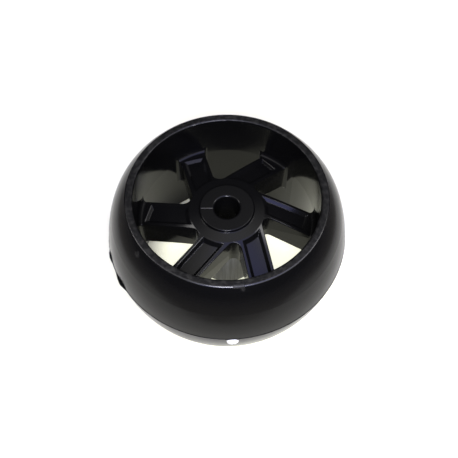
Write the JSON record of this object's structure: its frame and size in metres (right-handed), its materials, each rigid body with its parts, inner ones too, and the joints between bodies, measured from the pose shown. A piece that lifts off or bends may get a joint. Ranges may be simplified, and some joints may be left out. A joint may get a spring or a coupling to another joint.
{
  "type": "lawn mower wheel",
  "caption": "One-piece moulded plastic wheel for a mower deck: wide crowned rim with flat lips, leaning spokes with sunk panels, and a plain hub bore that turns on an axle bolt.",
  "frame": {"origin": "on the bore's axis, halfway between the two lips, in the plane of the tread's parting line", "axes": "+Z along the bore towards the boss, up as the wheel lies on its side; +X to the right in the picture and +Y away from its camera"},
  "size_m": [0.127, 0.127, 0.068],
  "materials": {
    "black_polyethylene": "moulded, satin, with a visible parting line and a little flash"
  },
  "bodies": {
    "root": {"wheel": "black_polyethylene"}
  },
  "joints": []
}
